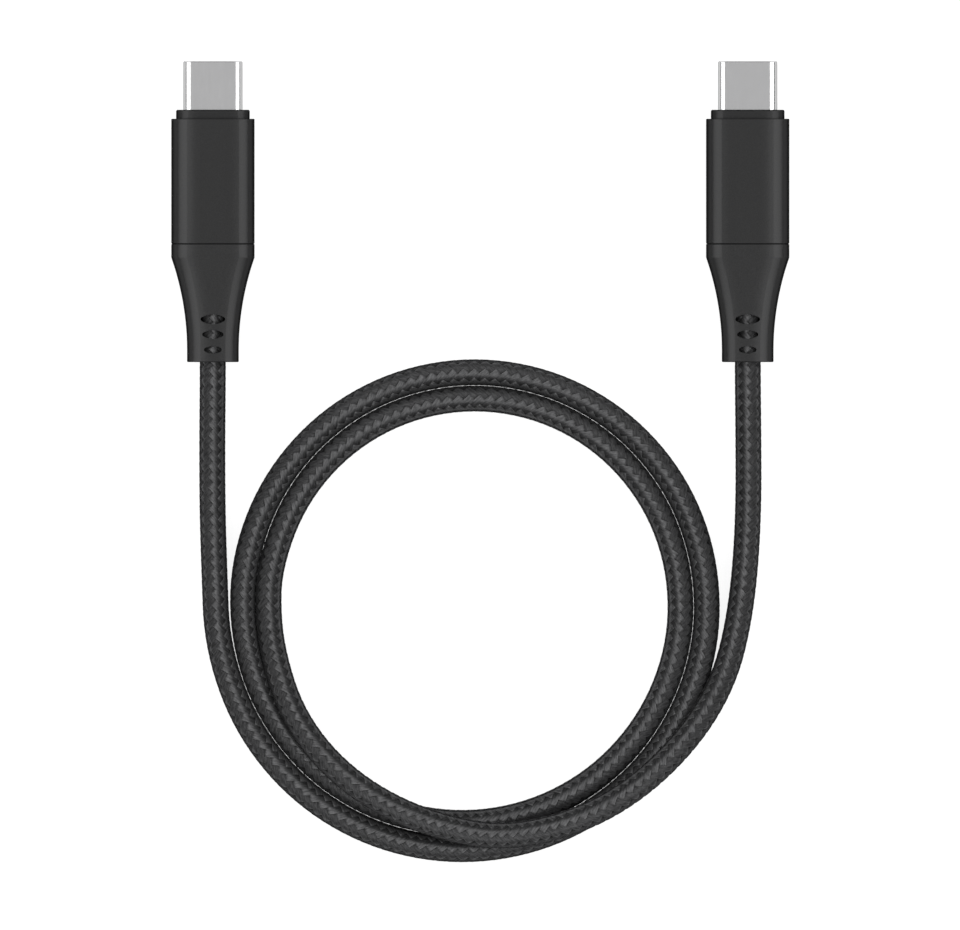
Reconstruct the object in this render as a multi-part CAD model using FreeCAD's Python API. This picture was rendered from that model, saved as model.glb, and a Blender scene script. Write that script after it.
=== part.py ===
import FreeCAD, Part
import math
import os

V = FreeCAD.Vector

# The frame: X is across the two plugs, Y points out of the plug mouths, Z is up from the table.
# The origin lies on the table, midway between the plugs and halfway along them. All sizes in mm.

# Layout on the table
plug_spacing = 74.4
coil_radius = 28.6
turn_spacing = 3.65
coil_centre_x = -0.8
coil_centre_y = -54.6
coil_join_angle = 165.95
coil_groove_depth = 0.55

# Cord: a round braided sleeve over a jacket, five insulated cores inside
cord_diameter = 3.55
jacket_diameter = 3.0
power_core_diameter = 0.9
signal_core_diameter = 0.6
braid_start = 8.9
bend_share = 0.45

# Metal shell of the plug
shell_width = 8.25
shell_height = 2.4
shell_wall = 0.25
shell_exposed = 6.75
shell_length = 11.5
shell_lip = 0.12

# Nose collar, housing sleeve and strain relief. Outside, their flat faces fall off into the round sides
# over a gentle shoulder, whose radius is this many times half the height.
shoulder_share = 3.1
shoulder_angle = 12.0
collar_width = 10.25
collar_height = 4.45
collar_length = 1.25
collar_spigot = 2.0
collar_edge = 0.15
housing_width = 11.6
housing_height = 5.8
housing_wall = 0.8
housing_length = 17.4
housing_edge = 0.08
seam_chamfer = 0.1
relief_length = 16.45
relief_shoulder = 1.9
relief_tail = 1.65
relief_end_width = 7.2
relief_end_height = 5.0
relief_edge = 0.1
relief_spigot = 3.0
relief_sections = 4

# Windows in the strain relief: distance from its end, then the smallest and the growth to the next
window_count = 3
window_end_distance = 1.72
window_spacing = 2.12
window_width = 2.45
window_width_growth = 0.49
window_length = 1.06
window_end_radius = 0.3
window_length_growth = 0.17

# Contact housing that lines the shell
nose_recess = 0.3
tongue_depth = 6.9
tongue_slot_width = 6.75
tongue_slot_height = 0.84
position_count = 12
contact_pitch = 0.5
contact_slot_width = 0.33
contact_slot_front = 1.8
contact_slot_top = 0.7

# Contacts and the carriers that hold them behind the tongue slot
contact_width = 0.25
contact_thickness = 0.12
contact_beam_height = 0.62
contact_bump_height = 0.33
contact_bump_front = 2.4
contact_bump_back = 2.75
contact_tip = 1.95
contact_tip_height = 0.5
contact_tail_lead = 0.5
contact_tail_length = 1.4
upper_positions = (1, 4, 5, 6, 7, 9, 12)
lower_positions = (1, 4, 5, 9, 12)
carrier_back = 11.3
mid_plate_thickness = 0.15
mid_plate_width = 6.5

# Side latch arms
latch_offset = 3.45
latch_thickness = 0.16
latch_height = 0.6
latch_root = 10.9
latch_hook_offset = 3.18
latch_hook_front = 2.6
latch_hook_back = 2.9
latch_knee = 3.7
latch_tip = 1.8
latch_band_height = 0.78
latch_band_front = 1.35
latch_band_inside = 3.27

# Grounding springs above and below the contact housing
spring_plate_width = 6.1
spring_plate_front = 1.55
spring_plate_back = 3.3
spring_thickness = 0.1
spring_seat_height = 0.8
spring_finger_count = 4
spring_finger_spacing = 1.55
spring_finger_width = 0.45
spring_touch_height = 0.42
spring_touch = 1.1
spring_tip = 0.85
spring_tip_lift = 0.12
spring_finger_overlap = 0.2
spring_bend_lead = 0.05

# Paddle card with its pads
card_thickness = 0.8
card_side_gap = 0.1
card_lead = 0.3
card_back_gap = 1.6
card_notch = 0.5
card_notch_back = 2.6
pad_thickness = 0.05
pad_margin = 0.04
wire_pad_width = 1.0
wire_pad_length = 2.0
wire_pad_margin = 0.3
wire_overhang = 0.65

# Each core: x of its pad, face of the card, x and z of its place in the jacket, and diameter
core_places = {
    "vbus_wire": (-1.5, 1, -0.55, 0.6, power_core_diameter),
    "cc_wire": (1.3, 1, 0.55, 0.6, signal_core_diameter),
    "ground_wire": (1.6, -1, 0.62, -0.55, power_core_diameter),
    "data_plus_wire": (-1.7, -1, -0.78, -0.42, signal_core_diameter),
    "data_minus_wire": (-0.2, -1, -0.15, -0.75, signal_core_diameter),
}

# Shield can over the card, the ferrule behind it and the walls of the mould round both
mould_side_wall = 0.45
mould_top_wall = 0.35
can_sheet = 0.2
can_corner = 0.4
can_front_gap = 0.2
can_back_gap = 0.6
can_rear_opening_width = 4.6
can_rear_opening_height = 2.6
jacket_lead = 0.1
ferrule_wall = 0.25
ferrule_length = 1.7
ferrule_back_gap = 0.2

# Clearances, how far a cut runs on past the end that it opens, and how flat an edge in a plane lies
press_gap = 0.02
slide_gap = 0.05
moving_gap = 0.06
bore_gap = 0.06
overcut = 1.0
flat_tolerance = 0.0001

# Sizes that follow from the ones above
cord_radius = cord_diameter / 2
plug_length = shell_exposed + collar_length + housing_length + relief_length
mouth = plug_length / 2
axis_height = housing_height / 2
collar_front = mouth - shell_exposed
housing_front = collar_front - collar_length
relief_front = housing_front - housing_length
relief_end = relief_front - relief_length
braid_front = relief_end + braid_start
bore_width = housing_width - 2 * housing_wall
bore_height = housing_height - 2 * housing_wall
lining_width = shell_width - 2 * shell_wall - 2 * press_gap
lining_height = shell_height - 2 * shell_wall - 2 * press_gap
spigot_width = bore_width - 2 * slide_gap
spigot_height = bore_height - 2 * slide_gap
can_width = spigot_width - 2 * (mould_side_wall + slide_gap)
can_height = spigot_height - 2 * (mould_top_wall + slide_gap)
can_front = housing_front - collar_spigot - can_front_gap
ferrule_back = relief_front + relief_spigot + ferrule_back_gap
ferrule_front = ferrule_back + ferrule_length
jacket_front = ferrule_front + jacket_lead
can_back = jacket_front + can_back_gap
card_width = can_width - 2 * (can_sheet + card_side_gap)
card_front = mouth - carrier_back - card_lead
card_back = can_back + card_back_gap
tail_height = card_thickness / 2 + pad_thickness + contact_thickness / 2
first_position = (position_count + 1) / 2
lower_centre_x = coil_centre_x - turn_spacing / 2

# Hand-chosen route of each tail: x, y and the height of the cord's centre, from inside the plug
# to where it lies down in the coil. The right tail climbs over two turns in one long low hump.
left_tail_route = [
    (-plug_spacing / 2, braid_front, axis_height),
    (-37.2, -22.0, 2.9),
    (-37.3, -32.0, 1.97),
    (-37.15, -41.5, 1.775),
    (-36.88, -49.0, 1.775),
    (lower_centre_x - coil_radius - 1.5 * turn_spacing, coil_centre_y, cord_radius),
]
right_tail_route = [
    (plug_spacing / 2, braid_front, axis_height),
    (37.2, -22.0, 2.9),
    (37.3, -31.5, 2.02),
    (37.32, -41.0, 1.775),
    (36.85, -50.0, 1.775),
    (35.75, -57.5, 1.87),
    (34.1, -63.9, 2.67),
    (31.2, -69.8, 4.47),
    (27.2, -75.2, 5.52),
    (22.1, -79.9, 5.52),
    (16.2, -83.6, 5.52),
    (9.3, -86.1, 5.47),
    (2.0, -87.05, 5.3),
    (-5.2, -85.8, 5.47),
    (-11.8, -83.2, 5.57),
    (-17.7, -79.4, 5.45),
    (-22.6, -74.6, 5.07),
    (-26.2, -68.9, 4.42),
    (-28.4, -62.6, 3.5),
    (-29.5, -56.9, 2.35),
    (-29.38, -51.58, 1.775),
    (-28.42, -47.73, 1.775),
]


def depth(distance):
    """The place on Y of a point that lies this far behind the plug's mouth."""
    return mouth - distance


def stadium(width, height, y):
    """Outline with flat top and bottom and round sides, standing across the plug axis."""
    flat = (width - height) / 2
    r = height / 2
    top = Part.LineSegment(V(-flat, y, r), V(flat, y, r))
    right = Part.Arc(V(flat, y, r), V(flat + r, y, 0), V(flat, y, -r))
    bottom = Part.LineSegment(V(flat, y, -r), V(-flat, y, -r))
    left = Part.Arc(V(-flat, y, -r), V(-flat - r, y, 0), V(-flat, y, r))
    return Part.Wire([piece.toShape() for piece in (top, right, bottom, left)])


def shouldered(width, height, y):
    """Outline like the stadium's, but with a gentle shoulder between each flat and its round side."""
    half = height / 2
    angle = math.radians(shoulder_angle)
    shoulder_radius = shoulder_share * half
    side_radius = (half - shoulder_radius * (1 - math.cos(angle))) / math.cos(angle)
    side_centre = width / 2 - side_radius
    flat = side_centre - (shoulder_radius - side_radius) * math.sin(angle)
    shoulder_x = flat + shoulder_radius * math.sin(angle / 2)
    shoulder_z = half - shoulder_radius * (1 - math.cos(angle / 2))
    join_x = flat + shoulder_radius * math.sin(angle)
    join_z = side_radius * math.cos(angle)
    pieces = []
    for side in (1, -1):
        pieces += [
            Part.LineSegment(V(-side * flat, y, side * half), V(side * flat, y, side * half)),
            Part.Arc(V(side * flat, y, side * half), V(side * shoulder_x, y, side * shoulder_z),
                     V(side * join_x, y, side * join_z)),
            Part.Arc(V(side * join_x, y, side * join_z), V(side * width / 2, y, 0),
                     V(side * join_x, y, -side * join_z)),
            Part.Arc(V(side * join_x, y, -side * join_z), V(side * shoulder_x, y, -side * shoulder_z),
                     V(side * flat, y, -side * half)),
        ]
    return Part.Wire([piece.toShape() for piece in pieces])


def shouldered_bar(width, height, front, back):
    face = Part.Face(shouldered(width, height, front))
    return face.extrude(V(0, back - front, 0))


def stadium_bar(width, height, front, back):
    face = Part.Face(stadium(width, height, front))
    return face.extrude(V(0, back - front, 0))


def block(x_low, x_high, front, back, z_low, z_high):
    """Rectangular block between two places on each axis, front being nearer the mouth."""
    return Part.makeBox(x_high - x_low, front - back, z_high - z_low, V(x_low, back, z_low))


def rod(radius, front, back, x=0.0, z=0.0):
    return Part.makeCylinder(radius, front - back, V(x, front, z), V(0, -1, 0))


def edges_at(shape, y):
    """Edges that lie wholly in the plane across the axis at this place on Y."""
    found = []
    for edge in shape.Edges:
        box = edge.BoundBox
        if abs(box.YMin - y) < flat_tolerance and abs(box.YMax - y) < flat_tolerance:
            found.append(edge)
    return found


def strip_outline(points, thickness):
    """Corners of a bent strip of even thickness around a line of two-number points."""
    normals = []
    for (ax, ay), (bx, by) in zip(points, points[1:]):
        length = math.hypot(bx - ax, by - ay)
        normals.append(((by - ay) / length, (ax - bx) / length))
    upper = []
    lower = []
    for i, (px, py) in enumerate(points):
        before = normals[max(i - 1, 0)]
        after = normals[min(i, len(normals) - 1)]
        share = 1 + before[0] * after[0] + before[1] * after[1]
        nx = (before[0] + after[0]) / share * thickness / 2
        ny = (before[1] + after[1]) / share * thickness / 2
        upper.append((px + nx, py + ny))
        lower.append((px - nx, py - ny))
    return upper + lower[::-1]


def upright_strip(points, thickness, x_low, width):
    """Strip bent in the plane of the axis and Z, from (depth, height) points, extruded along X."""
    corners = [V(x_low, depth(d), z) for d, z in strip_outline(points, thickness)]
    face = Part.Face(Part.makePolygon(corners + corners[:1]))
    return face.extrude(V(width, 0, 0))


def flat_strip(points, thickness, height):
    """Strip bent in the plane of the axis and X, from (x, depth) points, extruded along Z."""
    corners = [V(x, depth(d), -height / 2) for x, d in strip_outline(points, thickness)]
    face = Part.Face(Part.makePolygon(corners + corners[:1]))
    return face.extrude(V(0, 0, height))


def route_wire(route):
    """Straight runs joined by tangent arcs, each as large as the shorter of its two runs allows."""
    points = [V(*point) for point in route]
    edges = []
    radii = []
    start = points[0]
    for before, corner, after in zip(points, points[1:], points[2:]):
        into = (corner - before).normalize()
        out = (after - corner).normalize()
        reach = bend_share * min((corner - before).Length, (after - corner).Length)
        half_turn = into.getAngle(out) / 2
        radius = reach / math.tan(half_turn)
        inward = (out - into).normalize()
        middle = corner + inward * (radius / math.cos(half_turn) - radius)
        arc_start = corner - into * reach
        arc_end = corner + out * reach
        edges.append(Part.LineSegment(start, arc_start).toShape())
        edges.append(Part.Arc(arc_start, middle, arc_end).toShape())
        radii.append(radius)
        start = arc_end
    edges.append(Part.LineSegment(start, points[-1]).toShape())
    return Part.Wire(edges), radii


def core(route, diameter):
    """Short stiff wire with a mitred bend at each point of its route."""
    first = V(*route[0])
    path = Part.makePolygon([V(*point) for point in route])
    ring = Part.Wire(Part.makeCircle(diameter / 2, first, V(*route[1]) - first))
    return path.makePipeShell([ring], True, False, 1)


def tube(route, diameter, name):
    """Round solid along a route. Prints its bend radii, and its volume against section times length."""
    path, radii = route_wire(route)
    first = V(*route[0])
    ring = Part.Wire(Part.makeCircle(diameter / 2, first, V(*route[1]) - first))
    solid = path.makePipeShell([ring], True, False)
    ratio = solid.Volume / (math.pi * diameter**2 / 4 * path.Length)
    bends = ", ".join(f"{radius:.1f}" for radius in radii)
    print(f"{name}: length {path.Length:.1f}, volume ratio {ratio:.4f}, bend radii {bends}")
    return solid


def positions_x(positions):
    return [(position - first_position) * contact_pitch for position in positions]


# Metal shell and the parts that line it

def make_plug_shell():
    outer = stadium_bar(shell_width, shell_height, mouth, depth(shell_length))
    outer = outer.makeChamfer(shell_lip, edges_at(outer, mouth))
    inner_width = shell_width - 2 * shell_wall
    inner_height = shell_height - 2 * shell_wall
    return outer.cut(stadium_bar(inner_width, inner_height, mouth, depth(shell_length)))


def spring_finger_places():
    middle = (spring_finger_count - 1) / 2
    return [(i - middle) * spring_finger_spacing for i in range(spring_finger_count)]


def make_contact_housing():
    front = depth(nose_recess)
    back = depth(tongue_depth)
    body = stadium_bar(lining_width, lining_height, front, back)
    half_slot = tongue_slot_height / 2
    half_width = tongue_slot_width / 2
    cuts = [block(-half_width, half_width, front + overcut, back - overcut, -half_slot, half_slot)]
    for x in positions_x(range(1, position_count + 1)):
        left = x - contact_slot_width / 2
        cuts.append(block(left, left + contact_slot_width, depth(contact_slot_front), back - overcut,
                          -contact_slot_top, contact_slot_top))
    for side in (-1, 1):
        x_low, x_high = sorted((side * latch_band_inside, side * shell_width))
        half_band = latch_band_height / 2
        cuts.append(block(x_low, x_high, depth(latch_band_front), back - overcut,
                          -half_band, half_band))
        z_low, z_high = sorted((side * spring_seat_height, side * shell_height))
        half_plate = spring_plate_width / 2 + slide_gap
        cuts.append(block(-half_plate, half_plate, depth(spring_tip - moving_gap),
                          depth(spring_plate_back + slide_gap), z_low, z_high))
    half_window = spring_finger_width / 2 + moving_gap
    for x in spring_finger_places():
        cuts.append(block(x - half_window, x + half_window, depth(spring_tip - 2 * moving_gap),
                          depth(spring_plate_front + moving_gap), -shell_height, shell_height))
    return body.cut(cuts)


def contact_line():
    """Middle line of an upper contact from its soldered tail to its turned-up tip."""
    return [
        (carrier_back + contact_tail_lead + contact_tail_length, tail_height),
        (carrier_back + contact_tail_lead, tail_height),
        (carrier_back + slide_gap, contact_beam_height),
        (tongue_depth, contact_beam_height),
        (contact_bump_back, contact_bump_height),
        (contact_bump_front, contact_bump_height),
        (contact_tip, contact_tip_height),
    ]


def make_contacts(positions, side):
    line = [(d, side * z) for d, z in contact_line()]
    beams = []
    for x in positions_x(positions):
        beams.append(upright_strip(line, contact_thickness, x - contact_width / 2, contact_width))
    return Part.makeCompound(beams)


def make_contact_carrier(positions, side):
    front = depth(tongue_depth + slide_gap)
    back = depth(carrier_back)
    body = stadium_bar(lining_width, lining_height, front, back)
    plate_top = mid_plate_thickness / 2 + press_gap
    z_low, z_high = sorted((side * plate_top, -side * shell_height))
    cuts = [block(-shell_width, shell_width, front + overcut, back - overcut, z_low, z_high)]
    half_band = latch_band_height / 2
    for wall in (-1, 1):
        x_low, x_high = sorted((wall * latch_band_inside, wall * shell_width))
        cuts.append(block(x_low, x_high, front + overcut, back - overcut, -half_band, half_band))
    half_hole = contact_thickness / 2 + press_gap
    low = side * (contact_beam_height - half_hole)
    high = side * (contact_beam_height + half_hole)
    z_low, z_high = sorted((low, high))
    for x in positions_x(positions):
        left = x - contact_width / 2 - press_gap
        right = x + contact_width / 2 + press_gap
        cuts.append(block(left, right, front + overcut, back - overcut, z_low, z_high))
    return body.cut(cuts)


def make_mid_plate():
    half_width = mid_plate_width / 2
    half_sheet = mid_plate_thickness / 2
    front = depth(tongue_depth + slide_gap)
    return block(-half_width, half_width, front, depth(carrier_back), -half_sheet, half_sheet)


def make_latch_arm(side):
    line = [
        (latch_offset, latch_root),
        (latch_offset, latch_knee),
        (latch_hook_offset, latch_hook_back),
        (latch_hook_offset, latch_hook_front),
        (latch_offset - latch_thickness / 2, latch_tip),
    ]
    return flat_strip([(side * x, d) for x, d in line], latch_thickness, latch_height)


def make_ground_spring(side):
    half_sheet = spring_thickness / 2
    seat = spring_seat_height + press_gap / 2 + half_sheet
    half_width = spring_plate_width / 2
    z_low, z_high = sorted((side * (seat - half_sheet), side * (seat + half_sheet)))
    plate = block(-half_width, half_width, depth(spring_plate_front), depth(spring_plate_back), z_low, z_high)
    line = [
        (spring_plate_front + spring_finger_overlap, side * seat),
        (spring_plate_front - spring_bend_lead, side * seat),
        (spring_touch, side * spring_touch_height),
        (spring_tip, side * (spring_touch_height + spring_tip_lift)),
    ]
    fingers = []
    for x in spring_finger_places():
        left = x - spring_finger_width / 2
        fingers.append(upright_strip(line, spring_thickness, left, spring_finger_width))
    return plate.fuse(fingers).removeSplitter()


# Paddle card, cores and shield

def core_end():
    """The place on Y of the soldered end of each core, halfway along its pad."""
    return card_back + wire_pad_margin + wire_pad_length / 2


def make_paddle_card():
    half_width = card_width / 2
    half = card_thickness / 2
    card = block(-half_width, half_width, card_front, card_back, -half, half)
    notch_front = card_back + card_notch_back
    notch_back = notch_front - 2 * card_notch
    cuts = []
    for side in (-1, 1):
        x_low, x_high = sorted((side * (half_width - card_notch), side * (half_width + overcut)))
        cuts.append(block(x_low, x_high, notch_front, notch_back, -card_thickness, card_thickness))
    return card.cut(cuts)


def pad(x, width, front, back, side):
    surface = card_thickness / 2
    z_low, z_high = sorted((side * surface, side * (surface + pad_thickness)))
    return block(x - width / 2, x + width / 2, front, back, z_low, z_high)


def make_solder_pads():
    pads = []
    width = contact_width + 2 * pad_margin
    tail_front = depth(carrier_back + contact_tail_lead)
    tail_back = tail_front - contact_tail_length - pad_margin
    for positions, side in ((upper_positions, 1), (lower_positions, -1)):
        for x in positions_x(positions):
            pads.append(pad(x, width, tail_front, tail_back, side))
    back = card_back + wire_pad_margin
    for x, side, _, _, _ in core_places.values():
        pads.append(pad(x, wire_pad_width, back + wire_pad_length, back, side))
    return Part.makeCompound(pads)


def make_wire(name):
    x, side, jacket_x, jacket_z, diameter = core_places[name]
    pad_z = side * (card_thickness / 2 + pad_thickness + diameter / 2)
    route = [
        (x, core_end(), pad_z),
        (x, card_back - wire_overhang, pad_z),
        (jacket_x, jacket_front + wire_overhang, jacket_z),
        (jacket_x, jacket_front, jacket_z),
    ]
    return core(route, diameter)


def make_solder_joints():
    """One low mound of solder with sloping sides in front of each core's end, on its pad."""
    mounds = []
    surface = card_thickness / 2 + pad_thickness
    half = wire_pad_width / 2 - pad_margin
    for x, side, _, _, diameter in core_places.values():
        y = core_end() + press_gap + half
        top = surface + diameter / 2
        foot = Part.makePlane(2 * half, 2 * half, V(x - half, y - half, side * surface))
        crown = Part.makePlane(half, half, V(x - half / 2, y - half / 2, side * top))
        mounds.append(Part.makeLoft([foot.OuterWire, crown.OuterWire], True, True))
    return Part.makeCompound(mounds)


def shield_can():
    """The closed can before it is split: it grips the shell in front and is open for the cores behind."""
    half_width = can_width / 2
    half = can_height / 2
    can = block(-half_width, half_width, can_front, can_back, -half, half)
    long_edges = [edge for edge in can.Edges if edge.BoundBox.YLength > can_height]
    can = can.makeFillet(can_corner, long_edges)
    inner_half_width = half_width - can_sheet
    inner_half = half - can_sheet
    inner = block(-inner_half_width, inner_half_width, can_front - can_sheet, can_back + can_sheet,
                  -inner_half, inner_half)
    grip = stadium_bar(shell_width + 2 * press_gap, shell_height + 2 * press_gap,
                       can_front + can_sheet, can_front - 2 * can_sheet)
    mouth_x = can_rear_opening_width / 2
    mouth_z = can_rear_opening_height / 2
    exit_cut = block(-mouth_x, mouth_x, can_back + 2 * can_sheet, can_back - can_sheet, -mouth_z, mouth_z)
    return can.cut([inner, grip, exit_cut])


def make_shield_can(side):
    z_low, z_high = sorted((side * press_gap / 2, side * can_height))
    return shield_can().common(block(-can_width, can_width, can_front, can_back, z_low, z_high))


def make_crimp_ferrule():
    outer = rod(jacket_diameter / 2 + ferrule_wall, ferrule_front, ferrule_back)
    return outer.cut(rod(jacket_diameter / 2 + press_gap / 2, ferrule_front, ferrule_back))


def make_jacket_end():
    return rod(jacket_diameter / 2, jacket_front, braid_front)


# Mouldings that are seen

def make_inner_mould():
    front = housing_front - collar_spigot - slide_gap
    back = relief_front + relief_spigot + slide_gap
    body = stadium_bar(spigot_width, spigot_height, front, back)
    half_width = can_width / 2 + slide_gap
    half = can_height / 2 + slide_gap
    can_room = block(-half_width, half_width, front, can_back - slide_gap, -half, half)
    cord_room = rod(jacket_diameter / 2 + ferrule_wall + slide_gap, front, back)
    return body.cut([can_room, cord_room])


def make_nose_collar():
    flange = shouldered_bar(collar_width, collar_height, collar_front, housing_front)
    flange = flange.makeChamfer(collar_edge, edges_at(flange, collar_front))
    spigot = stadium_bar(spigot_width, spigot_height, housing_front, housing_front - collar_spigot)
    hole = stadium_bar(shell_width + 2 * press_gap, shell_height + 2 * press_gap,
                       collar_front, housing_front - collar_spigot)
    return flange.fuse(spigot).removeSplitter().cut(hole)


def make_housing_sleeve():
    sleeve = shouldered_bar(housing_width, housing_height, housing_front, relief_front)
    sleeve = sleeve.makeChamfer(housing_edge, edges_at(sleeve, housing_front))
    sleeve = sleeve.makeChamfer(seam_chamfer, edges_at(sleeve, relief_front))
    return sleeve.cut(stadium_bar(bore_width, bore_height, housing_front, relief_front))


def relief_size(y):
    """Width and height of the relief at a place on its flare, a hollow arc that ends along the cord."""
    flare_front = relief_front - relief_shoulder
    flare_back = relief_end + relief_tail
    run = flare_front - flare_back
    width_drop = (housing_width - relief_end_width) / 2
    radius = (run**2 + width_drop**2) / (2 * width_drop)
    rise = radius - math.sqrt(radius**2 - (y - flare_back) ** 2)
    share = rise / width_drop
    width = relief_end_width + 2 * rise
    height = relief_end_height + share * (housing_height - relief_end_height)
    return width, height


def oval(half_width, half_length, end_radius, y, z):
    """Outline of two long arcs that run tangent into a small arc at each end, flat at this height."""
    squares = half_width**2 + half_length**2 - 2 * half_width * end_radius
    long_radius = squares / (2 * (half_length - end_radius))
    centre_drop = long_radius - half_length
    reach = end_radius / (long_radius - end_radius)
    join_x = (half_width - end_radius) * (1 + reach)
    join_y = centre_drop * reach
    corners = [V(join_x, y + join_y, z), V(-join_x, y + join_y, z),
               V(-join_x, y - join_y, z), V(join_x, y - join_y, z)]
    middles = [V(0, y + half_length, z), V(-half_width, y, z), V(0, y - half_length, z), V(half_width, y, z)]
    arcs = []
    for i, middle in enumerate(middles):
        arcs.append(Part.Arc(corners[i], middle, corners[(i + 1) % 4]).toShape())
    return Part.Wire(arcs)


def relief_window(number):
    """Cutter for one oval window, square through the relief from top to bottom."""
    y = relief_end + window_end_distance + number * window_spacing
    half_width = (window_width + number * window_width_growth) / 2
    half_length = (window_length + number * window_length_growth) / 2
    outline = oval(half_width, half_length, window_end_radius, y, -housing_height)
    return Part.Face(outline).extrude(V(0, 0, 2 * housing_height))


def make_strain_relief():
    flare_front = relief_front - relief_shoulder
    flare_back = relief_end + relief_tail
    sections = []
    for i in range(relief_sections + 1):
        y = flare_front + (flare_back - flare_front) * i / relief_sections
        width, height = relief_size(y)
        sections.append(shouldered(width, height, y))
    flare = Part.makeLoft(sections, True, False)
    shoulder = shouldered_bar(housing_width, housing_height, relief_front, flare_front)
    shoulder = shoulder.makeChamfer(seam_chamfer, edges_at(shoulder, relief_front))
    tail = shouldered_bar(relief_end_width, relief_end_height, flare_back, relief_end)
    tail = tail.makeChamfer(relief_edge, edges_at(tail, relief_end))
    spigot_front = relief_front + relief_spigot
    spigot = stadium_bar(spigot_width, spigot_height, spigot_front, relief_front)
    body = shoulder.fuse([flare, tail, spigot])
    cuts = [
        rod(cord_radius + bore_gap, braid_front, relief_end),
        rod(jacket_diameter / 2 + slide_gap, spigot_front, braid_front),
    ]
    for number in range(window_count):
        cuts.append(relief_window(number))
    return body.cut(cuts)


# Cord

def lane_pair_section(inner, outer, height):
    """Section of two turns lying side by side: two rounds bridged by a web in the groove between them."""
    rise = cord_radius - coil_groove_depth
    reach = math.sqrt(cord_radius**2 - rise**2)
    inner_top = V(inner + reach, 0, height + rise)
    inner_bottom = V(inner + reach, 0, height - rise)
    outer_top = V(outer - reach, 0, height + rise)
    outer_bottom = V(outer - reach, 0, height - rise)
    pieces = [
        Part.Arc(inner_top, V(inner - cord_radius, 0, height), inner_bottom),
        Part.LineSegment(inner_bottom, outer_bottom),
        Part.Arc(outer_bottom, V(outer + cord_radius, 0, height), outer_top),
        Part.LineSegment(outer_top, inner_top),
    ]
    return Part.Face(Part.Wire([piece.toShape() for piece in pieces]))


def swept(face, centre_x, start_angle, end_angle):
    """Turns a section that stands on the X axis about an upright axis, between two angles in degrees."""
    face.rotate(V(0, 0, 0), V(0, 0, 1), start_angle)
    face.translate(V(centre_x, coil_centre_y, 0))
    return face.revolve(V(centre_x, coil_centre_y, 0), V(0, 0, 1), end_angle - start_angle)


def make_cord_coil():
    """One and a half turns of the cord, flat on the table, as a two-centred spiral of half rings."""
    outer_radius = coil_radius + turn_spacing
    half_step = turn_spacing / 2
    upper_pair = lane_pair_section(coil_radius, outer_radius, cord_radius)
    upper = swept(upper_pair, coil_centre_x, 0, coil_join_angle)
    outer_ring = Part.makeCircle(cord_radius, V(outer_radius, 0, cord_radius), V(0, 1, 0))
    upper_rest = swept(Part.Face(Part.Wire(outer_ring)), coil_centre_x, coil_join_angle, 180)
    lower_pair = lane_pair_section(coil_radius + half_step, outer_radius + half_step, cord_radius)
    lower = swept(lower_pair, lower_centre_x, 180, 360)
    return lower.fuse([upper, upper_rest])


# Writing the parts

def export(shape, name):
    for solid in shape.Solids:
        if not solid.isValid():
            raise RuntimeError(f"{name} is not a valid solid")
    kept = shape.Solids[0] if len(shape.Solids) == 1 else Part.makeCompound(shape.Solids)
    kept.exportStep(f"parts/{name}.step")


def plug_parts():
    """Every piece of one plug, in the plug's own frame with its axis on Y."""
    data_wires = Part.makeCompound([make_wire("data_plus_wire"), make_wire("data_minus_wire")])
    return {
        "plug_shell": make_plug_shell(),
        "contact_housing": make_contact_housing(),
        "upper_contacts": make_contacts(upper_positions, 1),
        "lower_contacts": make_contacts(lower_positions, -1),
        "upper_contact_carrier": make_contact_carrier(upper_positions, 1),
        "lower_contact_carrier": make_contact_carrier(lower_positions, -1),
        "mid_plate": make_mid_plate(),
        "left_latch_arm": make_latch_arm(-1),
        "right_latch_arm": make_latch_arm(1),
        "upper_ground_spring": make_ground_spring(1),
        "lower_ground_spring": make_ground_spring(-1),
        "paddle_card": make_paddle_card(),
        "solder_pads": make_solder_pads(),
        "solder_joints": make_solder_joints(),
        "vbus_wire": make_wire("vbus_wire"),
        "ground_wire": make_wire("ground_wire"),
        "cc_wire": make_wire("cc_wire"),
        "data_wires": data_wires,
        "upper_shield_can": make_shield_can(1),
        "lower_shield_can": make_shield_can(-1),
        "crimp_ferrule": make_crimp_ferrule(),
        "jacket_end": make_jacket_end(),
        "inner_mould": make_inner_mould(),
        "nose_collar": make_nose_collar(),
        "housing_sleeve": make_housing_sleeve(),
        "strain_relief": make_strain_relief(),
    }


def main():
    os.makedirs("parts", exist_ok=True)
    pieces = plug_parts()
    for plug, side in (("plug_a", -1), ("plug_b", 1)):
        place = V(side * plug_spacing / 2, 0, axis_height)
        for name, shape in pieces.items():
            placed = shape.copy()
            placed.translate(place)
            export(placed, f"{plug}_{name}")
    export(tube(left_tail_route, cord_diameter, "cord_tail_a"), "cord_tail_a")
    export(tube(right_tail_route, cord_diameter, "cord_tail_b"), "cord_tail_b")
    export(make_cord_coil(), "cord_coil")


main()
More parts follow.
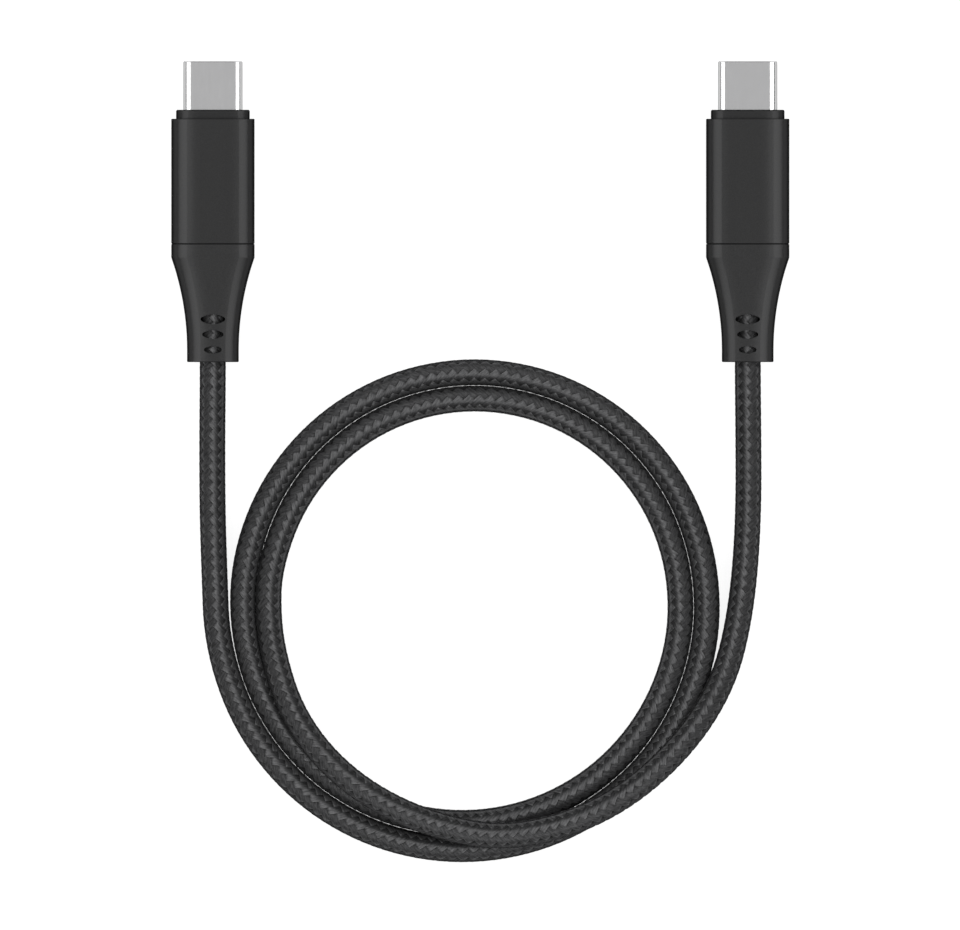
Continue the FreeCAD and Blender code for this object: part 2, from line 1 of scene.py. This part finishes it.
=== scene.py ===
import bpy
import math
import numpy as np
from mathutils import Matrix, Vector


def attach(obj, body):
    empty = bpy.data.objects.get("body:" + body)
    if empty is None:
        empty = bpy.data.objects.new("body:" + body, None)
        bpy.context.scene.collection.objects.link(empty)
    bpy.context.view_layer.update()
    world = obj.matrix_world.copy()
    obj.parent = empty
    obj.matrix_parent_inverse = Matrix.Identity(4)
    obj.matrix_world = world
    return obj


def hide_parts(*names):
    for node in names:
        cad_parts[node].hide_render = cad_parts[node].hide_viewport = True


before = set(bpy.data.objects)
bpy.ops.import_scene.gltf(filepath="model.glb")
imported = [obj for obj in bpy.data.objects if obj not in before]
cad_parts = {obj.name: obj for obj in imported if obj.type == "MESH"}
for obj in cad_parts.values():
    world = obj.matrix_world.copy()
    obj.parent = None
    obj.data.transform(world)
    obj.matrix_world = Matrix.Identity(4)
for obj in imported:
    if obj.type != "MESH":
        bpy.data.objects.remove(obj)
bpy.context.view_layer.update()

mm = 0.001


# small helpers

def deselectAll():
    if bpy.context.object and bpy.context.object.mode != "OBJECT":
        bpy.ops.object.mode_set(mode="OBJECT")
    bpy.ops.object.select_all(action="DESELECT")


def meshPiece(name, verts, faces):
    mesh = bpy.data.meshes.new(name)
    mesh.from_pydata(verts.tolist(), [], faces.tolist())
    mesh.polygons.foreach_set("use_smooth", np.ones(len(mesh.polygons), dtype=bool))
    mesh.update()
    obj = bpy.data.objects.new(name, mesh)
    bpy.context.collection.objects.link(obj)
    return obj


def unit(rows):
    return rows / np.linalg.norm(rows, axis=1)[:, None]


# material helpers

noiseRange = (0.3, 0.7)        # a noise hardly ever leaves this range, so it is the one that gets spread

usualGrain = {
    "metallic": 0.0,
    "specular": 0.5,
    "edgeTint": 1.0,           # how much of its shine a metal keeps where it is seen edge on
    "stretch": (1.0, 1.0, 1.0),
    "detail": 2.0,
    "spread": 0.1,             # the grain makes the colour this much darker and paler
    "roughnessSpread": 0.06,
    "bumpStrength": 1.0,
}


def newMaterial(name, colour, roughness, metallic=0.0, specular=0.5):
    material = bpy.data.materials.new(name)
    material.use_nodes = True
    shader = material.node_tree.nodes["Principled BSDF"]
    shader.inputs["Base Color"].default_value = (*colour, 1.0)
    shader.inputs["Roughness"].default_value = roughness
    shader.inputs["Metallic"].default_value = metallic
    shader.inputs["Specular IOR Level"].default_value = specular
    return material, material.node_tree, shader


def addNode(tree, kind, **settings):
    node = tree.nodes.new(kind)
    for key, value in settings.items():
        setattr(node, key, value)
    return node


def grainNoise(tree, scale, stretch, detail):
    # a noise in the piece's own coordinates, with its scale to the millimetre
    place = addNode(tree, "ShaderNodeTexCoord")
    inMm = addNode(tree, "ShaderNodeMapping")
    inMm.inputs["Scale"].default_value = tuple(value / mm for value in stretch)
    noise = addNode(tree, "ShaderNodeTexNoise")
    noise.inputs["Scale"].default_value = scale
    noise.inputs["Detail"].default_value = detail
    tree.links.new(place.outputs["Object"], inMm.inputs["Vector"])
    tree.links.new(inMm.outputs[0], noise.inputs["Vector"])
    return noise.outputs["Fac"]


def spreadNoise(tree, source, low, high):
    spread = addNode(tree, "ShaderNodeMapRange")
    spread.inputs["From Min"].default_value = noiseRange[0]
    spread.inputs["From Max"].default_value = noiseRange[1]
    spread.inputs["To Min"].default_value = low
    spread.inputs["To Max"].default_value = high
    tree.links.new(source, spread.inputs["Value"])
    return spread.outputs[0]


def setStops(ramp, stops):
    # a new ramp has two stops, which become the first and the last
    ramp.elements[0].position = stops[0][0]
    ramp.elements[-1].position = stops[-1][0]
    for position, colour in stops[1:-1]:
        ramp.elements.new(position)
    for element, (position, colour) in zip(ramp.elements, stops):
        element.color = (*colour, 1.0)


def varyColour(tree, shader, source, darker, paler):
    tone = addNode(tree, "ShaderNodeValToRGB")
    setStops(tone.color_ramp, ((noiseRange[0], darker), (noiseRange[1], paler)))
    tree.links.new(source, tone.inputs["Fac"])
    tree.links.new(tone.outputs["Color"], shader.inputs["Base Color"])


def addBump(tree, shader, source, height, strength=1.0):
    bump = addNode(tree, "ShaderNodeBump")
    bump.inputs["Strength"].default_value = strength
    bump.inputs["Distance"].default_value = height * mm
    tree.links.new(source, bump.inputs["Height"])
    tree.links.new(bump.outputs["Normal"], shader.inputs["Normal"])


def tintEdge(shader, level):
    shader.inputs["Specular Tint"].default_value = (level, level, level, 1.0)


def scaled(colour, share):
    return tuple(value * share for value in colour)


def grainyFinish(look):
    look = {**usualGrain, **look}
    colour, rough = look["colour"], look["roughness"]
    material, tree, shader = newMaterial(look["name"], colour, rough, look["metallic"], look["specular"])
    tintEdge(shader, look["edgeTint"])
    noise = grainNoise(tree, look["grain"], look["stretch"], look["detail"])
    varyColour(tree, shader, noise, scaled(colour, 1 - look["spread"]), scaled(colour, 1 + look["spread"]))
    change = look["roughnessSpread"]
    tree.links.new(spreadNoise(tree, noise, rough - change, rough + change), shader.inputs["Roughness"])
    addBump(tree, shader, noise, look["bump"], look["bumpStrength"])
    return material


# camera, floor and light

view = {
    "pxPerMm": 7.188,
    "width": 960,
    "height": 930,
    "originPx": (480.3, 211.7),      # where the part's origin falls in the photograph
    "lift": 0.6,
}

floorPaper = {
    "size": 20.0,                    # wide enough to fill any view from above the floor
    "colour": 0.25,
    "glow": 0.86,                    # what is added where it is seen, straight or in metal
}

sky = {
    "zenith": 0.80,                  # overhead, which the flat steel faces mirror
    "horizon": 0.08,                 # a dim studio round about, which gives the plugs their dark sides
    "spread": (0.55, 0.95),          # the sine of the height where the overhead light begins and is full
}

softboxes = {
    "strip": {                       # at each side, they draw the bands on the plugs
        "radiance": 2.6, "width": 0.40, "height": 0.47, "distance": 0.48, "tilt": 50.0,
    },
    "box": {                         # in front and behind, they light everything from above
        "radiance": 0.80, "width": 0.50, "height": 0.26, "distance": 0.50, "tilt": 33.0,
    },
    "overCoil": {                    # over the middle of the coil, it lights the cord alone
        "radiance": 0.63, "width": 0.12, "height": 0.12, "distance": 0.20, "tilt": 0.0,
    },
}


def makeCamera():
    data = bpy.data.cameras.new("photoCamera")
    data.type = "ORTHO"
    data.ortho_scale = view["width"] / view["pxPerMm"] * mm
    camera = bpy.data.objects.new("photoCamera", data)
    bpy.context.collection.objects.link(camera)
    x = (view["width"] / 2 - view["originPx"][0]) / view["pxPerMm"] * mm
    y = (view["originPx"][1] - view["height"] / 2) / view["pxPerMm"] * mm
    camera.location = (x, y, view["lift"])
    bpy.context.scene.camera = camera
    return Vector((x, y, 0.0))


def makeSoftbox(name, kind, towards, aim):
    box = softboxes[kind]
    data = bpy.data.lights.new(name, "AREA")
    data.shape = "RECTANGLE"
    data.size = box["width"]
    data.size_y = box["height"]
    data.energy = box["radiance"] * math.pi * box["width"] * box["height"]
    lamp = bpy.data.objects.new(name, data)
    bpy.context.collection.objects.link(lamp)
    tilt = math.radians(box["tilt"])
    outward = Vector(towards) * math.sin(tilt) + Vector((0, 0, math.cos(tilt)))
    lamp.location = aim + outward * box["distance"]
    lamp.rotation_euler = (aim - lamp.location).to_track_quat("-Z", "Y").to_euler()
    return lamp


def makeFloor():
    deselectAll()
    bpy.ops.mesh.primitive_plane_add(size=floorPaper["size"], location=(0, 0, 0))
    floor = bpy.context.object
    floor.name = "floor"
    material = bpy.data.materials.new("floorPaper")
    material.use_nodes = True
    tree = material.node_tree
    tree.nodes.clear()
    out = addNode(tree, "ShaderNodeOutputMaterial")
    diffuse = addNode(tree, "ShaderNodeBsdfDiffuse")
    level = floorPaper["colour"]
    diffuse.inputs["Color"].default_value = (level, level, level, 1.0)
    glow = addNode(tree, "ShaderNodeEmission")
    path = addNode(tree, "ShaderNodeLightPath")
    seenOrMirrored = addNode(tree, "ShaderNodeMath", operation="MAXIMUM")
    seenAnyWay = addNode(tree, "ShaderNodeMath", operation="MAXIMUM")
    scale = addNode(tree, "ShaderNodeMath", operation="MULTIPLY")
    scale.inputs[1].default_value = floorPaper["glow"]
    both = addNode(tree, "ShaderNodeAddShader")
    tree.links.new(path.outputs["Is Camera Ray"], seenOrMirrored.inputs[0])
    tree.links.new(path.outputs["Is Glossy Ray"], seenOrMirrored.inputs[1])
    tree.links.new(seenOrMirrored.outputs[0], seenAnyWay.inputs[0])
    tree.links.new(path.outputs["Is Transmission Ray"], seenAnyWay.inputs[1])
    tree.links.new(seenAnyWay.outputs[0], scale.inputs[0])
    tree.links.new(scale.outputs[0], glow.inputs["Strength"])
    tree.links.new(diffuse.outputs[0], both.inputs[0])
    tree.links.new(glow.outputs[0], both.inputs[1])
    tree.links.new(both.outputs[0], out.inputs["Surface"])
    floor.data.materials.append(material)


def makeSky():
    world = bpy.data.worlds.new("studio")
    world.use_nodes = True
    tree = world.node_tree
    back = tree.nodes["Background"]
    back.inputs["Color"].default_value = (1.0, 1.0, 1.0, 1.0)
    place = addNode(tree, "ShaderNodeTexCoord")
    split = addNode(tree, "ShaderNodeSeparateXYZ")
    height = addNode(tree, "ShaderNodeMapRange", interpolation_type="SMOOTHSTEP")
    height.inputs["From Min"].default_value = sky["spread"][0]
    height.inputs["From Max"].default_value = sky["spread"][1]
    height.inputs["To Min"].default_value = sky["horizon"]
    height.inputs["To Max"].default_value = sky["zenith"]
    tree.links.new(place.outputs["Generated"], split.inputs[0])
    tree.links.new(split.outputs["Z"], height.inputs["Value"])
    tree.links.new(height.outputs[0], back.inputs["Strength"])
    bpy.context.scene.world = world


def lightStage():
    viewMiddle = makeCamera()
    makeFloor()
    makeSky()
    plugs = Vector((0.0, 0.0, 0.0))
    leftStrip = makeSoftbox("leftStrip", "strip", (-1, 0, 0), plugs)
    rightStrip = makeSoftbox("rightStrip", "strip", (1, 0, 0), plugs)
    makeSoftbox("backBox", "box", (0, 1, 0), viewMiddle)
    makeSoftbox("frontBox", "box", (0, -1, 0), viewMiddle)
    bpy.context.scene.view_settings.view_transform = "Standard"
    print("stage: camera, floor, sky, two strips and two boxes")
    return [leftStrip, rightStrip]


def linkLamps(lamps, pieces, state):
    # INCLUDE lights these pieces alone, EXCLUDE lights all but them
    receivers = bpy.data.collections.new("cord" + state.title())
    for piece in pieces:
        receivers.objects.link(piece)
    for place in receivers.collection_objects:
        place.light_linking.link_state = state
    for lamp in lamps:
        lamp.light_linking.receiver_collection = receivers


def lightCord(strips, pieces):
    coilMiddle = Vector((cord["coilX"], cord["coilY"], 0.0)) * mm
    overCoil = makeSoftbox("overCoil", "overCoil", (0, 0, 0), coilMiddle)
    linkLamps([overCoil], pieces, "INCLUDE")
    linkLamps(strips, pieces, "EXCLUDE")
    print("light: a softbox over the coil for the cord, and the strips kept off it")


# the cord's route, in millimetres

cord = {
    "diameter": 3.55,
    "jacket": 2.9,
    "length": 584.0,
    "height": 1.79,            # centre of the cord where it lies on the floor
    "coilRadius": 28.6,
    "turnSpacing": 3.65,
    "coilX": -0.8,
    "coilY": -54.6,
    "lowerShift": 0.1,         # the lower half turns lie this much further right
    "pointsPerHalfTurn": 9,
    "exit": (-37.2, -20.92, 2.9),
    "curveSteps": 12,          # steps from one route point to the next
    "readSteps": 24,           # and where the yarns read the line
    "roundness": 5,
}

leftTail = [
    (-37.2, -12.0, 2.9), (-37.2, -22.0, 2.9), (-37.3, -32.0, 1.97),
    (-37.26, -41.5, 1.79), (-37.03, -49.0, 1.79),
]

rightTail = [
    (37.2, -12.0, 2.9), (37.2, -22.0, 2.9), (37.3, -31.5, 2.02), (37.32, -41.0, 1.79),
    (36.85, -50.0, 1.79), (35.85, -57.5, 1.87), (34.26, -63.94, 2.67), (31.33, -69.86, 4.47),
    (27.2, -75.2, 5.52), (22.1, -79.9, 5.52), (16.2, -83.6, 5.52), (9.3, -86.1, 5.47),
    (2.0, -87.05, 5.3), (-5.18, -85.65, 5.47), (-11.8, -83.2, 5.57), (-17.8, -79.54, 5.45),
    (-22.79, -74.77, 5.07), (-26.46, -69.05, 4.42), (-28.54, -62.64, 3.5), (-29.5, -56.9, 2.35),
]


def halfTurn(radius, centreX, startAngle):
    # control points a little outside the turn, so that the curve between them keeps its radius
    step = math.pi / cord["pointsPerHalfTurn"]
    reach = radius / math.cos(step / 2)
    points = []
    for i in range(cord["pointsPerHalfTurn"]):
        angle = startAngle + (i + 0.5) * step
        x = centreX + reach * math.cos(angle)
        y = cord["coilY"] + reach * math.sin(angle)
        points.append((x, y, cord["height"]))
    return points


def coilPoints():
    # two turns inwards, in half turns that meet and get smaller by half a spacing
    inner = cord["coilRadius"]
    spacing = cord["turnSpacing"]
    upperX = cord["coilX"]
    lowerX = upperX - spacing / 2 + cord["lowerShift"]
    points = halfTurn(inner + 1.5 * spacing, lowerX, math.pi)
    points += halfTurn(inner + spacing, upperX, 0.0)
    points += halfTurn(inner + 0.5 * spacing, lowerX, math.pi)
    points += halfTurn(inner, upperX, 0.0)
    return points


def makeRoute():
    points = leftTail + coilPoints() + rightTail[::-1]
    curve = bpy.data.curves.new("cordJacket", "CURVE")
    curve.dimensions = "3D"
    spline = curve.splines.new("NURBS")
    spline.points.add(len(points) - 1)
    for knot, point in zip(spline.points, points):
        knot.co = (*(Vector(point) * mm), 1.0)
    spline.order_u = 3
    spline.use_endpoint_u = True
    spline.resolution_u = cord["curveSteps"]
    obj = bpy.data.objects.new("cordJacket", curve)
    bpy.context.collection.objects.link(obj)
    return obj


def readLine(obj):
    # a copy of the cord with no bevel becomes a line of points
    bare = obj.copy()
    bare.data = obj.data.copy()
    bare.data.bevel_depth = 0.0
    bare.data.splines[0].resolution_u = cord["readSteps"]
    bpy.context.collection.objects.link(bare)
    graph = bpy.context.evaluated_depsgraph_get()
    mesh = bpy.data.meshes.new_from_object(bare.evaluated_get(graph))
    line = np.array([vert.co[:] for vert in mesh.vertices])
    bpy.data.objects.remove(bare)
    return line


def evenLine(line, spacing):
    # the same line at an even spacing, with two side directions that never twist
    steps = np.linalg.norm(np.diff(line, axis=0), axis=1)
    along = np.concatenate([[0.0], np.cumsum(steps)])
    count = int(round(along[-1] / spacing))
    at = np.linspace(0.0, along[-1], count + 1)
    points = np.stack([np.interp(at, along, line[:, k]) for k in range(3)], axis=1)
    tangents = unit(np.gradient(points, at, axis=0))
    sides = np.zeros_like(points)
    side = np.array([1.0, 0.0, 0.0])
    for i, tangent in enumerate(tangents):
        side = side - tangent * side.dot(tangent)
        side /= np.linalg.norm(side)
        sides[i] = side
    ups = np.cross(tangents, sides)
    return at, points, sides, ups


# braid: sixteen flat yarns, eight each way, over two and under two, lapped like shingles

braid = {
    "yarnsEachWay": 8,
    "lead": 11.9,                    # length of one full turn of a yarn
    "diameter": 3.68,                # over the tips of the stitches
    "yarnWidth": 1.24,
    "yarnThickness": 0.12,
    "stepsPerColumn": 8,
    "firstColumn": 5.5,              # where a column of stitches starts, in degrees from the side
    "offset": {1: 5.5, -1: 28.0},    # where the first yarn of each way starts, in degrees
    "diveShare": 0.125,              # a stitch's end drops within this share of a column
    "diveDepth": 2.0,                # by this many thicknesses, under the two yarns that cross it
    "edgeLead": 0.61,                # how much further round the cord one edge of a yarn is, in columns
    "edgeReach": 0.3,                # an edge keeps on sloping this far past its column
    "noseShare": 0.25,               # a stitch rounds down over this share of a column before its tip
    "noseDrop": 0.15,                # by how many thicknesses it has rounded down there
    "curl": 0.168,                   # how fast a yarn's edges fall away round the cord, per mm
    "section": (                     # places across a yarn, in widths and thicknesses
        (0.5, -0.2), (0.46, 0.41), (0.415, 0.475), (0.0, 0.5),
        (-0.415, 0.475), (-0.46, 0.41), (-0.5, -0.2), (0.0, -0.5),
    ),
}

yarnFinish = {
    "name": "blackNylonYarn",
    "colour": (0.05, 0.05, 0.052),   # its mean, for which the painted shade and painted highlight below stand in
    "roughness": 0.33,
    "metallic": 0.5,                 # half of it shines along the filaments, with no rim light
    "specular": 0.0,
    "edgeTint": 0.0,
    "fibres": (1.5, 5.0, 1.0),       # fibre noise: to the millimetre along a yarn, and across its width
    "fibreDetail": 3.0,
    "fibreRoughness": 0.6,
    "fibreShade": (0.62, 1.38),      # the darkest and palest fibres against the yarn's own tone
    "paintedShadeByLift": (                       # painted shade and highlight by the lift: painted shade deep in the braid, painted highlight at a stitch's tip
        (0.0, (0.03, 0.03, 0.03)), (0.12, (0.062, 0.062, 0.06324)),
        (0.45, (0.079, 0.079, 0.08058)), (1.0, (0.142, 0.142, 0.145)),
    ),
    "bump": 0.07,
    "bumpStrength": 0.5,
}

jacketFinish = {
    "name": "blackJacket", "colour": (0.012, 0.012, 0.012), "roughness": 0.6, "roughnessSpread": 0.0,
    "grain": 4.0, "spread": 0.25, "bump": 0.01,
}


def stitchDepth(phase, share):
    # in thicknesses: 0 at a stitch's tip, 1 where it comes up from under the yarns that cross it
    edgePhase = phase - share * braid["edgeLead"]              # each edge has its own place in the stitch
    reach = braid["edgeReach"]
    back = np.clip(1.0 - edgePhase, 0.0, 1.0 + reach)
    nose = (1.0 - back / braid["noseShare"]).clip(0.0, 1.0)
    over = back + braid["noseDrop"] * nose ** 2
    dive = np.interp(phase, (1.0, 1.0 + braid["diveShare"]), (0.0, braid["diveDepth"]))
    under = (1.0 - edgePhase).clip(-1.0 - reach, reach) + dive
    return np.where(phase > 1.0, under, over)


def tubeFaces(steps, corners):
    i, k = np.meshgrid(np.arange(steps), np.arange(corners), indexing="ij")
    nextK = (k + 1) % corners
    ring = i * corners
    faces = np.stack([ring + k, ring + nextK, ring + corners + nextK, ring + corners + k], axis=-1)
    return faces.reshape(-1, 4)


def makeYarn(number, way, line):
    at, points, sides, ups = line
    column = 360 / braid["yarnsEachWay"]
    degrees = braid["offset"][way] + column * number + way * 360 * at / (braid["lead"] * mm)
    start = braid["firstColumn"] + (0 if way > 0 else column)
    phase = ((degrees - start) / column) % 2.0                 # 0 to 1 over, 1 to 2 under
    surface = braid["diameter"] / 2
    angle = np.radians(degrees)
    outward = sides * np.cos(angle)[:, None] + ups * np.sin(angle)[:, None]
    heading = unit(np.gradient(points + outward * surface * mm, at, axis=0))
    across = unit(np.cross(outward, heading))
    rings = []
    lifts = []
    for share, rise in braid["section"]:
        x = braid["yarnWidth"] * share
        depth = stitchDepth(phase, share)
        height = surface - braid["yarnThickness"] * (0.5 + depth - rise) - x * x * braid["curl"]
        rings.append(points + outward * (height * mm)[:, None] + across * (x * mm))
        # the lift, which the yarn's material turns into painted shade deep in the braid and a painted
        # highlight at the tips
        lifts.append(np.clip(1.0 - depth, 0.0, 1.0))
    corners = len(braid["section"])
    verts = np.stack(rings, axis=1).reshape(-1, 3)
    name = "braidYarn{}{:02d}".format("Right" if way > 0 else "Left", number + 1)
    yarn = meshPiece(name, verts, tubeFaces(len(at) - 1, corners))
    addYarnUv(yarn, at, corners)
    addLift(yarn, np.stack(lifts, axis=1).ravel())
    return yarn


def addYarnUv(yarn, at, corners):
    # U runs along the yarn in millimetres, V across it
    layer = yarn.data.uv_layers.new(name="yarnUv")
    loops = np.zeros(len(yarn.data.loops), dtype=np.int64)
    yarn.data.loops.foreach_get("vertex_index", loops)
    across = np.array([share for share, rise in braid["section"]]) + 0.5
    uv = np.stack([at[loops // corners] / mm, across[loops % corners]], axis=1)
    layer.data.foreach_set("uv", uv.astype(np.float32).ravel())


def addLift(yarn, lift):
    # how high each point stands in the braid, 0 deep to 1 at a stitch's tip, which the yarn's material
    # turns into painted shade and painted highlight
    layer = yarn.data.attributes.new("lift", "FLOAT", "POINT")
    layer.data.foreach_set("value", lift.astype(np.float32))


def yarnMaterial(look):
    material, tree, shader = newMaterial(look["name"], look["colour"], look["roughness"],
                                         look["metallic"], look["specular"])
    tintEdge(shader, look["edgeTint"])
    uv = addNode(tree, "ShaderNodeUVMap", uv_map="yarnUv")
    stretch = addNode(tree, "ShaderNodeMapping")
    stretch.inputs["Scale"].default_value = look["fibres"]
    fibres = addNode(tree, "ShaderNodeTexNoise", noise_dimensions="2D")
    fibres.inputs["Scale"].default_value = 1.0
    fibres.inputs["Detail"].default_value = look["fibreDetail"]
    fibres.inputs["Roughness"].default_value = look["fibreRoughness"]
    lift = addNode(tree, "ShaderNodeAttribute", attribute_name="lift")
    # painted shade and highlight: the ramp darkens the yarn where the crossing yarns shade it and lightens
    # a stitch's tip
    tone = addNode(tree, "ShaderNodeValToRGB")
    setStops(tone.color_ramp, look["paintedShadeByLift"])
    shaded = addNode(tree, "ShaderNodeVectorMath", operation="SCALE")
    tree.links.new(uv.outputs[0], stretch.inputs["Vector"])
    tree.links.new(stretch.outputs[0], fibres.inputs["Vector"])
    tree.links.new(lift.outputs["Fac"], tone.inputs["Fac"])
    tree.links.new(tone.outputs["Color"], shaded.inputs["Vector"])
    tree.links.new(spreadNoise(tree, fibres.outputs["Fac"], *look["fibreShade"]), shaded.inputs["Scale"])
    tree.links.new(shaded.outputs["Vector"], shader.inputs["Base Color"])
    addBump(tree, shader, fibres.outputs["Fac"], look["bump"], look["bumpStrength"])
    return material


def makeCord():
    jacket = makeRoute()
    step = braid["lead"] / braid["yarnsEachWay"] / braid["stepsPerColumn"]
    line = evenLine(readLine(jacket), step * mm)
    jacket.data.bevel_depth = cord["jacket"] / 2 * mm
    jacket.data.bevel_resolution = cord["roundness"]
    jacket.data.materials.append(grainyFinish(jacketFinish))
    nylon = yarnMaterial(yarnFinish)
    yarns = []
    for way in (1, -1):
        for number in range(braid["yarnsEachWay"]):
            yarn = makeYarn(number, way, line)
            yarn.data.materials.append(nylon)
            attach(yarn, "cable")
            yarns.append(yarn)
    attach(jacket, "cable")
    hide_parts("cord_tail_a", "cord_tail_b", "cord_coil")
    print("cord: jacket and", len(yarns), "yarns")
    return [jacket] + yarns


# finishes of the plug's pieces

shellSteel = {
    "name": "drawnSteel", "colour": (0.515, 0.515, 0.519), "roughness": 0.17, "roughnessSpread": 0.02,
    "metallic": 1.0, "edgeTint": 0.5,
    "grain": 5.0, "stretch": (1.0, 0.12, 1.0), "spread": 0.015, "bump": 0.0001,
}
housingAluminium = {
    "name": "blastedDarkAluminium", "colour": (0.0358, 0.0358, 0.0362), "roughness": 0.34,
    "roughnessSpread": 0.05, "metallic": 0.7, "specular": 0.0, "edgeTint": 0.2,
    "grain": 9.0, "spread": 0.12, "bump": 0.006, "bumpStrength": 0.5,
}
collarPlastic = {
    "name": "collarPlastic", "colour": (0.031, 0.031, 0.0314), "roughness": 0.36,
    "metallic": 0.7, "specular": 0.0, "edgeTint": 0.2,
    "grain": 7.0, "bump": 0.004, "bumpStrength": 0.5,
}
reliefRubber = {
    "name": "softRubber", "colour": (0.0368, 0.0368, 0.0372), "roughness": 0.36,
    "metallic": 0.7, "specular": 0.0, "edgeTint": 0.2,
    "grain": 8.0, "spread": 0.12, "bump": 0.006, "bumpStrength": 0.5,
}
insulatorPlastic = {
    "name": "insulatorPlastic", "colour": (0.012, 0.012, 0.013), "roughness": 0.42,
    "grain": 5.0, "spread": 0.2, "bump": 0.003,
}
carrierPlastic = {
    "name": "carrierPlastic", "colour": (0.018, 0.018, 0.019), "roughness": 0.46,
    "grain": 4.0, "spread": 0.2, "bump": 0.003,
}
contactGold = {
    "name": "contactGold", "colour": (0.86, 0.62, 0.26), "roughness": 0.22, "roughnessSpread": 0.05,
    "metallic": 1.0, "grain": 4.0, "stretch": (1.0, 0.3, 1.0), "spread": 0.06, "bump": 0.001,
}
springSteel = {
    "name": "springSteel", "colour": (0.55, 0.55, 0.56), "roughness": 0.26, "roughnessSpread": 0.05,
    "metallic": 1.0, "grain": 5.0, "stretch": (1.0, 0.15, 1.0), "spread": 0.06, "bump": 0.001,
}
solderTin = {
    "name": "solderTin", "colour": (0.68, 0.69, 0.71), "roughness": 0.30, "roughnessSpread": 0.1,
    "metallic": 1.0, "grain": 3.0, "bump": 0.02,
}
canSteel = {
    "name": "tinnedCan", "colour": (0.62, 0.62, 0.62), "roughness": 0.34, "roughnessSpread": 0.08,
    "metallic": 1.0, "grain": 1.6, "stretch": (1.0, 0.4, 1.0), "spread": 0.08, "bump": 0.002,
}
ferruleCopper = {
    "name": "ferruleCopper", "colour": (0.72, 0.42, 0.26), "roughness": 0.34, "roughnessSpread": 0.1,
    "metallic": 1.0, "grain": 2.0, "spread": 0.12, "bump": 0.006,
}
mouldPlastic = {
    "name": "innerMouldPlastic", "colour": (0.62, 0.58, 0.48), "roughness": 0.48,
    "grain": 1.2, "spread": 0.06, "bump": 0.01,
}
innerJacket = {
    "name": "innerJacket", "colour": (0.014, 0.014, 0.015), "roughness": 0.5,
    "grain": 5.0, "spread": 0.25, "bump": 0.004,
}
coreInsulation = {
    "roughness": 0.38, "grain": 6.0, "spread": 0.08, "bump": 0.003,
}
coreColours = {
    "vbus_wire": (0.46, 0.025, 0.02),
    "ground_wire": (0.016, 0.016, 0.017),
    "cc_wire": (0.03, 0.10, 0.42),
    "data_wires": (0.66, 0.66, 0.63),
}

card = {
    "resist": (0.006, 0.075, 0.032),
    "roughness": 0.3,
    "weave": 1.6,                    # woven glass threads to the millimetre, seen through the resist
    "weaveShade": (0.75, 1.4),       # between the threads and on them
    "bump": 0.004,
}


def cardFinish():
    material, tree, shader = newMaterial("cardResist", card["resist"], card["roughness"])
    place = addNode(tree, "ShaderNodeTexCoord")
    inMm = addNode(tree, "ShaderNodeMapping")
    inMm.inputs["Scale"].default_value = (1 / mm, 1 / mm, 1 / mm)
    tree.links.new(place.outputs["Object"], inMm.inputs["Vector"])
    weave = addNode(tree, "ShaderNodeMath", operation="MULTIPLY")
    for direction, thread in zip("XY", weave.inputs):
        wave = addNode(tree, "ShaderNodeTexWave", wave_type="BANDS", bands_direction=direction)
        wave.inputs["Scale"].default_value = card["weave"]
        tree.links.new(inMm.outputs[0], wave.inputs["Vector"])
        tree.links.new(wave.outputs["Fac"], thread)
    between, onThread = (scaled(card["resist"], share) for share in card["weaveShade"])
    varyColour(tree, shader, weave.outputs[0], between, onThread)
    addBump(tree, shader, weave.outputs[0], card["bump"])
    return material


def dressNodes():
    gold = grainyFinish(contactGold)
    spring = grainyFinish(springSteel)
    looks = {
        "plug_shell": grainyFinish(shellSteel),
        "housing_sleeve": grainyFinish(housingAluminium),
        "nose_collar": grainyFinish(collarPlastic),
        "strain_relief": grainyFinish(reliefRubber),
        "contact_housing": grainyFinish(insulatorPlastic),
        "contact_carrier": grainyFinish(carrierPlastic),
        "contacts": gold,
        "latch_arm": spring,
        "ground_spring": spring,
        "mid_plate": spring,
        "paddle_card": cardFinish(),
        "solder_pads": gold,
        "solder_joints": grainyFinish(solderTin),
        "shield_can": grainyFinish(canSteel),
        "crimp_ferrule": grainyFinish(ferruleCopper),
        "inner_mould": grainyFinish(mouldPlastic),
        "jacket_end": grainyFinish(innerJacket),
    }
    for name, colour in coreColours.items():
        looks[name] = grainyFinish({**coreInsulation, "name": name + "Insulation", "colour": colour})
    dressed = 0
    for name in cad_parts:
        for ending, look in looks.items():
            if name.endswith(ending):
                for slot in bpy.data.objects[name].material_slots:
                    slot.link = "OBJECT"
                    slot.material = look
                dressed += 1
    print("finishes:", dressed, "plug nodes dressed, of", len(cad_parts), "nodes with the cord's")


strips = lightStage()
cordPieces = makeCord()
lightCord(strips, cordPieces)
dressNodes()
